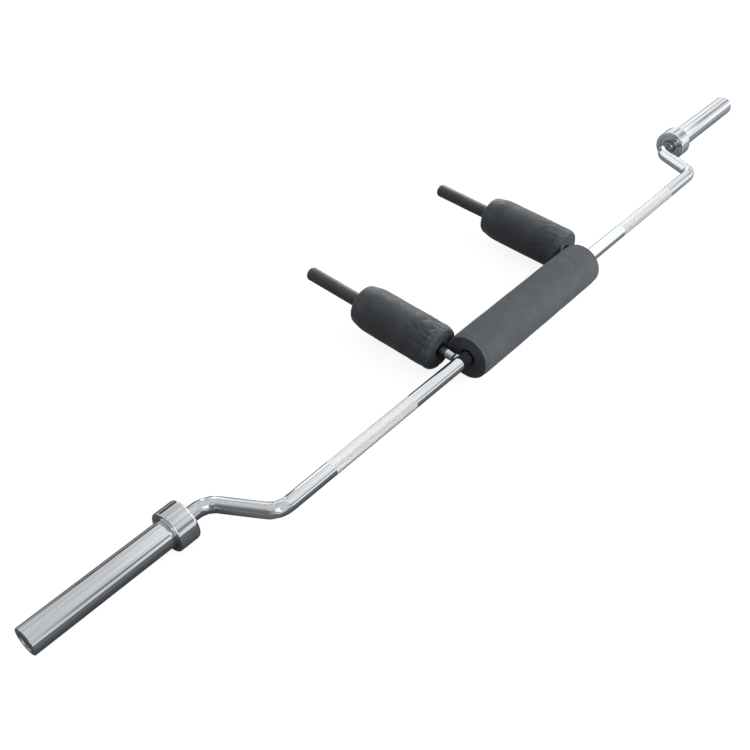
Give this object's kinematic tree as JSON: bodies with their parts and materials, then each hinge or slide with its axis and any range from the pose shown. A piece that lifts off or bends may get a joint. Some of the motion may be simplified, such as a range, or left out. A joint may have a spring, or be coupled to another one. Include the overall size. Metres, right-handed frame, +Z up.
{
  "type": "safety squat bar",
  "caption": "Cranked squat bar with a padded middle, padded forward arms with hand grips, and a revolving plate sleeve with collar on each end.",
  "frame": {"origin": "on the floor, under the middle of the whole bar as it rests on its centre pad and both collars", "axes": "+X along the bar to its right end, +Y the way the arms point, +Z up"},
  "size_m": [2.25, 0.448, 0.1065],
  "materials": {
    "chrome": "polished chrome plate on bent steel bar, frosted where it is knurled",
    "sleeve_chrome": "polished chrome plate on turned steel",
    "raw_steel": "plain turned steel",
    "bronze": "oiled sintered bronze",
    "centre_vinyl": "matte mid grey moulded skin",
    "arm_vinyl": "dark grey vinyl, faint sheen",
    "foam": "closed-cell foam, black",
    "grip_rubber": "matte dark rubber",
    "plastic_tube": "black plastic tube"
  },
  "bodies": {
    "bar": {"shaft": "chrome", "centre_pad_cover": "centre_vinyl", "centre_pad_foam": "foam", "centre_pad_inner_tube": "plastic_tube", "left_arm_rod": "chrome", "left_arm_weld": "raw_steel", "left_arm_pad_cover": "arm_vinyl", "left_arm_pad_foam": "foam", "left_arm_pad_inner_tube": "plastic_tube", "left_hand_grip": "grip_rubber", "left_inner_washer": "raw_steel", "left_outer_washer": "raw_steel", "left_retaining_ring": "raw_steel", "right_arm_rod": "chrome", "right_arm_weld": "raw_steel", "right_arm_pad_cover": "arm_vinyl", "right_arm_pad_foam": "foam", "right_arm_pad_inner_tube": "plastic_tube", "right_hand_grip": "grip_rubber", "right_inner_washer": "raw_steel", "right_outer_washer": "raw_steel", "right_retaining_ring": "raw_steel"},
    "left_plate_sleeve": {"left_sleeve": "sleeve_chrome", "left_collar": "sleeve_chrome", "left_inner_bushing": "bronze", "left_outer_bushing": "bronze", "left_end_cap": "sleeve_chrome"},
    "right_plate_sleeve": {"right_sleeve": "sleeve_chrome", "right_collar": "sleeve_chrome", "right_inner_bushing": "bronze", "right_outer_bushing": "bronze", "right_end_cap": "sleeve_chrome"}
  },
  "joints": [
    {"name": "left_sleeve_spin", "type": "hinge", "parent": "bar", "child": "left_plate_sleeve", "pos_m": [-0.972, -0.0646, 0.0375], "axis": [1, 0, 0], "continuous": true},
    {"name": "right_sleeve_spin", "type": "hinge", "parent": "bar", "child": "right_plate_sleeve", "pos_m": [0.972, -0.0646, 0.0375], "axis": [1, 0, 0], "continuous": true}
  ]
}
